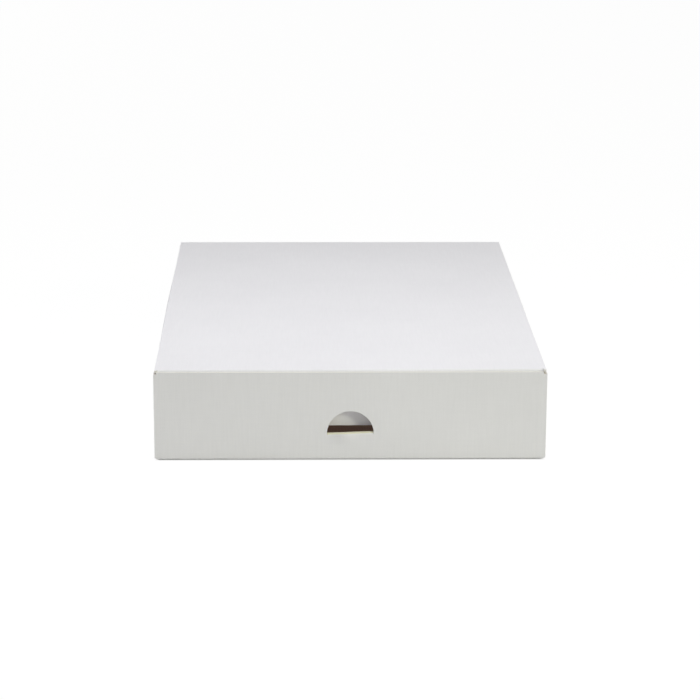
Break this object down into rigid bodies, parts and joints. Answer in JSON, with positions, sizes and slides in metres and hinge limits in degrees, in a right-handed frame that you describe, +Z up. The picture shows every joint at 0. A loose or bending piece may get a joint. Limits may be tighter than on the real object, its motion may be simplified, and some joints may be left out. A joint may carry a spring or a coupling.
{
  "type": "pastry box",
  "caption": "Low rectangular pastry box folded from one white board sheet, with a hinged tuck-in lid and a half-moon finger hole in its front wall.",
  "frame": {"origin": "centre of the floor's underside, which is the face that the box stands on", "axes": "+Z up, the front wall with the finger hole faces -Y, the lid hinges along X at the top of the back wall at +Y"},
  "size_m": [0.26, 0.39, 0.0615],
  "materials": {
    "white_board": "smooth white coated liner outside, brown kraft inside, satin to matt"
  },
  "bodies": {
    "tray": {"box_tray": "white_board"},
    "lid": {"hinged_lid": "white_board"}
  },
  "joints": [
    {"name": "lid_hinge", "type": "hinge", "parent": "tray", "child": "lid", "pos_m": [0, 0.195, 0.05985], "axis": [-1, 0, 0], "range_deg": [0, 180]}
  ]
}
